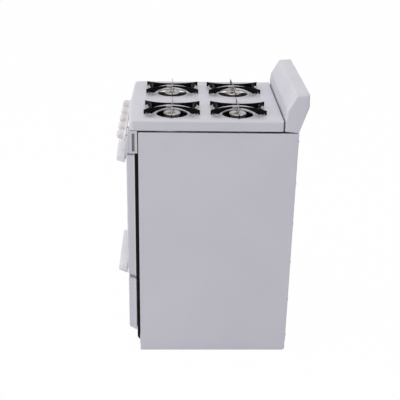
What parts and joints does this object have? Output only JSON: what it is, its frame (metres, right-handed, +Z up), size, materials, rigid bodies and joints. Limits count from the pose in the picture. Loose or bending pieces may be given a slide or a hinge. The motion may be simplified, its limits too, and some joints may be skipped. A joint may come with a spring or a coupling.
{
  "type": "gas range",
  "caption": "Freestanding white gas range with burner grates, tilted control panel, oven door on a bottom hinge and a broiler drawer.",
  "frame": {"origin": "on the floor, under the middle of the bounding box", "axes": "+X to the user's right seen from the front, -Y out of the front, +Z up"},
  "size_m": [0.508, 0.663, 1.008],
  "materials": {
    "white_enamel": "glossy porcelain enamel",
    "black_enamel": "glossy black enamel",
    "oven_enamel": "speckled blue-grey porcelain enamel",
    "grate_enamel": "glossy black enamel on steel strip",
    "galvanised_steel": "zinc-coated sheet",
    "burner_steel": "plain steel, slightly heat stained",
    "stem_steel": "turned steel",
    "zinc_screw": "zinc-plated",
    "rack_chrome": "bright plated wire",
    "cast_aluminium": "as-cast, matt",
    "valve_brass": "machined brass",
    "mineral_wool": "loose-fibre blanket",
    "gasket_braid": "woven glass-fibre rope",
    "white_handle": "smooth gloss",
    "knob_white": "smooth gloss",
    "black_plastic": "moulded"
  },
  "bodies": {
    "chassis": {"back_panel": "galvanised_steel", "backguard": "white_enamel", "base_pan": "galvanised_steel", "broiler_box": "galvanised_steel", "burner_box_floor": "black_enamel", "chassis_screws": "zinc_screw", "control_panel": "white_enamel", "flame_baffle": "burner_steel", "flue_duct": "galvanised_steel", "front_frame": "black_enamel", "gas_valve_left_front": "valve_brass", "gas_valve_left_rear": "valve_brass", "gas_valve_right_front": "valve_brass", "gas_valve_right_rear": "valve_brass", "manifold_pipe": "burner_steel", "oven_burner": "burner_steel", "oven_floor": "oven_enamel", "oven_insulation": "mineral_wool", "oven_liner": "oven_enamel", "oven_thermostat": "valve_brass", "panel_ends": "white_enamel", "pressure_regulator": "cast_aluminium", "side_panel_left": "white_enamel", "side_panel_right": "white_enamel", "surface_burner_front_left": "cast_aluminium", "surface_burner_front_right": "cast_aluminium", "surface_burner_rear_left": "cast_aluminium", "surface_burner_rear_right": "cast_aluminium"},
    "cooktop": {"cooktop": "white_enamel"},
    "oven_door": {"door_outer_panel": "white_enamel", "door_inner_panel": "oven_enamel", "door_insulation": "mineral_wool", "door_gasket": "gasket_braid", "door_hinge_arms": "galvanised_steel", "door_handle": "white_handle"},
    "broiler_drawer": {"drawer_front": "white_enamel", "drawer_box": "galvanised_steel", "drawer_handle": "white_handle"},
    "broiler_pan": {"broiler_pan": "oven_enamel"},
    "broiler_grid": {"broiler_grid": "oven_enamel"},
    "rack_lower": {"oven_rack_lower": "rack_chrome"},
    "rack_upper": {"oven_rack_upper": "rack_chrome"},
    "grate_front_left": {"grate_front_left": "grate_enamel"},
    "foot_front_left": {"foot_front_left": "black_plastic"},
    "grate_front_right": {"grate_front_right": "grate_enamel"},
    "foot_front_right": {"foot_front_right": "black_plastic"},
    "grate_rear_left": {"grate_rear_left": "grate_enamel"},
    "foot_rear_left": {"foot_rear_left": "black_plastic"},
    "grate_rear_right": {"grate_rear_right": "grate_enamel"},
    "foot_rear_right": {"foot_rear_right": "black_plastic"},
    "stem_left_rear": {"valve_stem_left_rear": "stem_steel"},
    "knob_left_rear": {"knob_left_rear": "knob_white"},
    "stem_left_front": {"valve_stem_left_front": "stem_steel"},
    "knob_left_front": {"knob_left_front": "knob_white"},
    "stem_oven": {"valve_stem_oven": "stem_steel"},
    "knob_oven": {"knob_oven": "knob_white"},
    "stem_right_front": {"valve_stem_right_front": "stem_steel"},
    "knob_right_front": {"knob_right_front": "knob_white"},
    "stem_right_rear": {"valve_stem_right_rear": "stem_steel"},
    "knob_right_rear": {"knob_right_rear": "knob_white"}
  },
  "joints": [
    {"name": "door_hinge", "type": "hinge", "parent": "chassis", "child": "oven_door", "pos_m": [0, -0.2775, 0.324], "axis": [1, 0, 0], "range_deg": [0, 90], "stiffness_Nm_per_rad": 4, "springref_deg": -14.32},
    {"name": "drawer_slide", "type": "slide", "parent": "chassis", "child": "broiler_drawer", "axis": [0, -1, 0], "range_m": [0, 0.33]},
    {"name": "broiler_pan_lift", "type": "slide", "parent": "broiler_drawer", "child": "broiler_pan", "axis": [0, 0, 1], "range_m": [0, 0.08]},
    {"name": "broiler_grid_lift", "type": "slide", "parent": "broiler_pan", "child": "broiler_grid", "axis": [0, 0, 1], "range_m": [0, 0.03]},
    {"name": "rack_lower_slide", "type": "slide", "parent": "chassis", "child": "rack_lower", "axis": [0, -1, 0], "range_m": [0, 0.012]},
    {"name": "rack_upper_slide", "type": "slide", "parent": "chassis", "child": "rack_upper", "axis": [0, -1, 0], "range_m": [0, 0.012]},
    {"name": "cooktop_hinge", "type": "hinge", "parent": "chassis", "child": "cooktop", "pos_m": [0, 0.2405, 0.908], "axis": [-1, 0, 0], "range_deg": [0, 35]},
    {"name": "grate_front_left_lift", "type": "slide", "parent": "cooktop", "child": "grate_front_left", "axis": [0, 0, 1], "range_m": [0, 0.12]},
    {"name": "foot_front_left_screw", "type": "slide", "parent": "chassis", "child": "foot_front_left", "axis": [0, 0, 1], "range_m": [-0.015, 0]},
    {"name": "grate_front_right_lift", "type": "slide", "parent": "cooktop", "child": "grate_front_right", "axis": [0, 0, 1], "range_m": [0, 0.12]},
    {"name": "foot_front_right_screw", "type": "slide", "parent": "chassis", "child": "foot_front_right", "axis": [0, 0, 1], "range_m": [-0.015, 0]},
    {"name": "grate_rear_left_lift", "type": "slide", "parent": "cooktop", "child": "grate_rear_left", "axis": [0, 0, 1], "range_m": [0, 0.12]},
    {"name": "foot_rear_left_screw", "type": "slide", "parent": "chassis", "child": "foot_rear_left", "axis": [0, 0, 1], "range_m": [-0.015, 0]},
    {"name": "grate_rear_right_lift", "type": "slide", "parent": "cooktop", "child": "grate_rear_right", "axis": [0, 0, 1], "range_m": [0, 0.12]},
    {"name": "foot_rear_right_screw", "type": "slide", "parent": "chassis", "child": "foot_rear_right", "axis": [0, 0, 1], "range_m": [-0.015, 0]},
    {"name": "knob_left_rear_turn", "type": "hinge", "parent": "chassis", "child": "stem_left_rear", "pos_m": [-0.18, -0.28791, 0.835], "axis": [0, -0.9853, 0.1708], "range_deg": [0, 200]},
    {"name": "knob_left_rear_push", "type": "slide", "parent": "stem_left_rear", "child": "knob_left_rear", "axis": [0, 0.9853, -0.1708], "range_m": [0, 0.003], "stiffness_N_per_m": 1500},
    {"name": "knob_left_front_turn", "type": "hinge", "parent": "chassis", "child": "stem_left_front", "pos_m": [-0.09, -0.28791, 0.835], "axis": [0, -0.9853, 0.1708], "range_deg": [0, 200]},
    {"name": "knob_left_front_push", "type": "slide", "parent": "stem_left_front", "child": "knob_left_front", "axis": [0, 0.9853, -0.1708], "range_m": [0, 0.003], "stiffness_N_per_m": 1500},
    {"name": "knob_oven_turn", "type": "hinge", "parent": "chassis", "child": "stem_oven", "pos_m": [0, -0.28791, 0.835], "axis": [0, -0.9853, 0.1708], "range_deg": [0, 270]},
    {"name": "knob_oven_push", "type": "slide", "parent": "stem_oven", "child": "knob_oven", "axis": [0, 0.9853, -0.1708], "range_m": [0, 0.003], "stiffness_N_per_m": 1500},
    {"name": "knob_right_front_turn", "type": "hinge", "parent": "chassis", "child": "stem_right_front", "pos_m": [0.09, -0.28791, 0.835], "axis": [0, -0.9853, 0.1708], "range_deg": [0, 200]},
    {"name": "knob_right_front_push", "type": "slide", "parent": "stem_right_front", "child": "knob_right_front", "axis": [0, 0.9853, -0.1708], "range_m": [0, 0.003], "stiffness_N_per_m": 1500},
    {"name": "knob_right_rear_turn", "type": "hinge", "parent": "chassis", "child": "stem_right_rear", "pos_m": [0.18, -0.28791, 0.835], "axis": [0, -0.9853, 0.1708], "range_deg": [0, 200]},
    {"name": "knob_right_rear_push", "type": "slide", "parent": "stem_right_rear", "child": "knob_right_rear", "axis": [0, 0.9853, -0.1708], "range_m": [0, 0.003], "stiffness_N_per_m": 1500}
  ]
}
